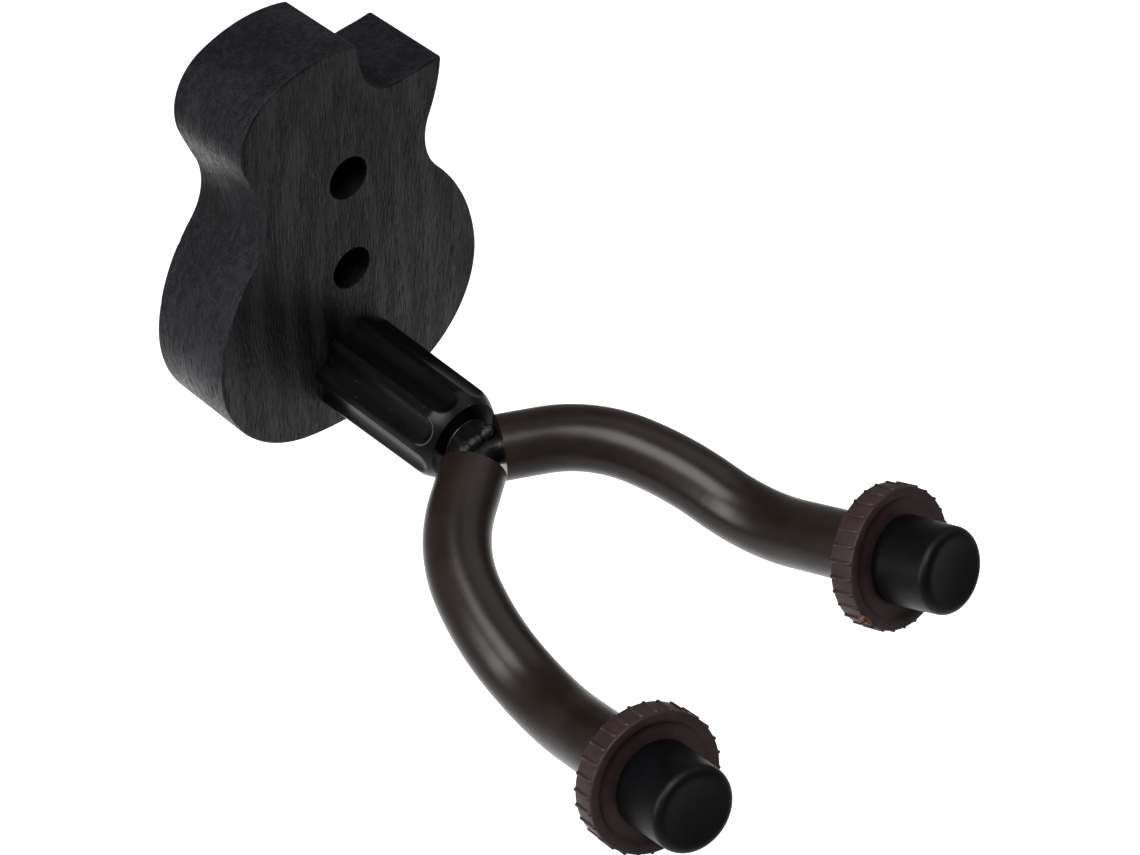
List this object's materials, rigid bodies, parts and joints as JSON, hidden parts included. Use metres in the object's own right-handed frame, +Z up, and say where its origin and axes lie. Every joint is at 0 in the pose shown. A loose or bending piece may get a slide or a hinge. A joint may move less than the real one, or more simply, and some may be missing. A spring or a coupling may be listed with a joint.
{
  "type": "wall guitar hanger",
  "caption": "Wall hanger for a guitar: guitar-body-shaped wooden block with a fluted collar and a swivelling rubber-sleeved yoke with stop rings that cradles the headstock.",
  "frame": {"origin": "on the wall plane (the back face of the block), midway between the two wall screw holes", "axes": "+X to the right for someone who faces the wall, +Y into the wall, +Z up; the hanger reaches out from the wall along -Y"},
  "size_m": [0.1124, 0.1872, 0.1212],
  "materials": {
    "black_stained_wood": "open-grain timber stained black, satin",
    "black_moulded_plastic": "moulded, satin",
    "black_painted_steel": "glossy black paint over steel",
    "weld_metal": "weld bead under thin black paint",
    "zinc_plated_steel": "zinc plated",
    "nylon": "natural nylon",
    "sleeve_rubber": "smooth extruded rubber, satin",
    "ring_rubber": "ribbed moulded rubber with flash",
    "cap_rubber": "matte moulded rubber"
  },
  "bodies": {
    "base": {"base_block": "black_stained_wood", "collar": "black_moulded_plastic", "front_washer": "black_painted_steel", "back_washer": "zinc_plated_steel"},
    "yoke": {"yoke_bolt": "black_painted_steel", "weld_beads": "weld_metal", "yoke_rod": "black_painted_steel", "spring_washer": "zinc_plated_steel", "lock_nut": "zinc_plated_steel", "nut_insert": "nylon", "left_sleeve": "sleeve_rubber", "right_sleeve": "sleeve_rubber", "left_end_ring": "ring_rubber", "right_end_ring": "ring_rubber", "left_end_cap": "cap_rubber", "right_end_cap": "cap_rubber"}
  },
  "joints": [
    {"name": "yoke_swivel", "type": "hinge", "parent": "base", "child": "yoke", "pos_m": [0, 0, -0.0434], "axis": [0, -1, 0], "continuous": true}
  ]
}
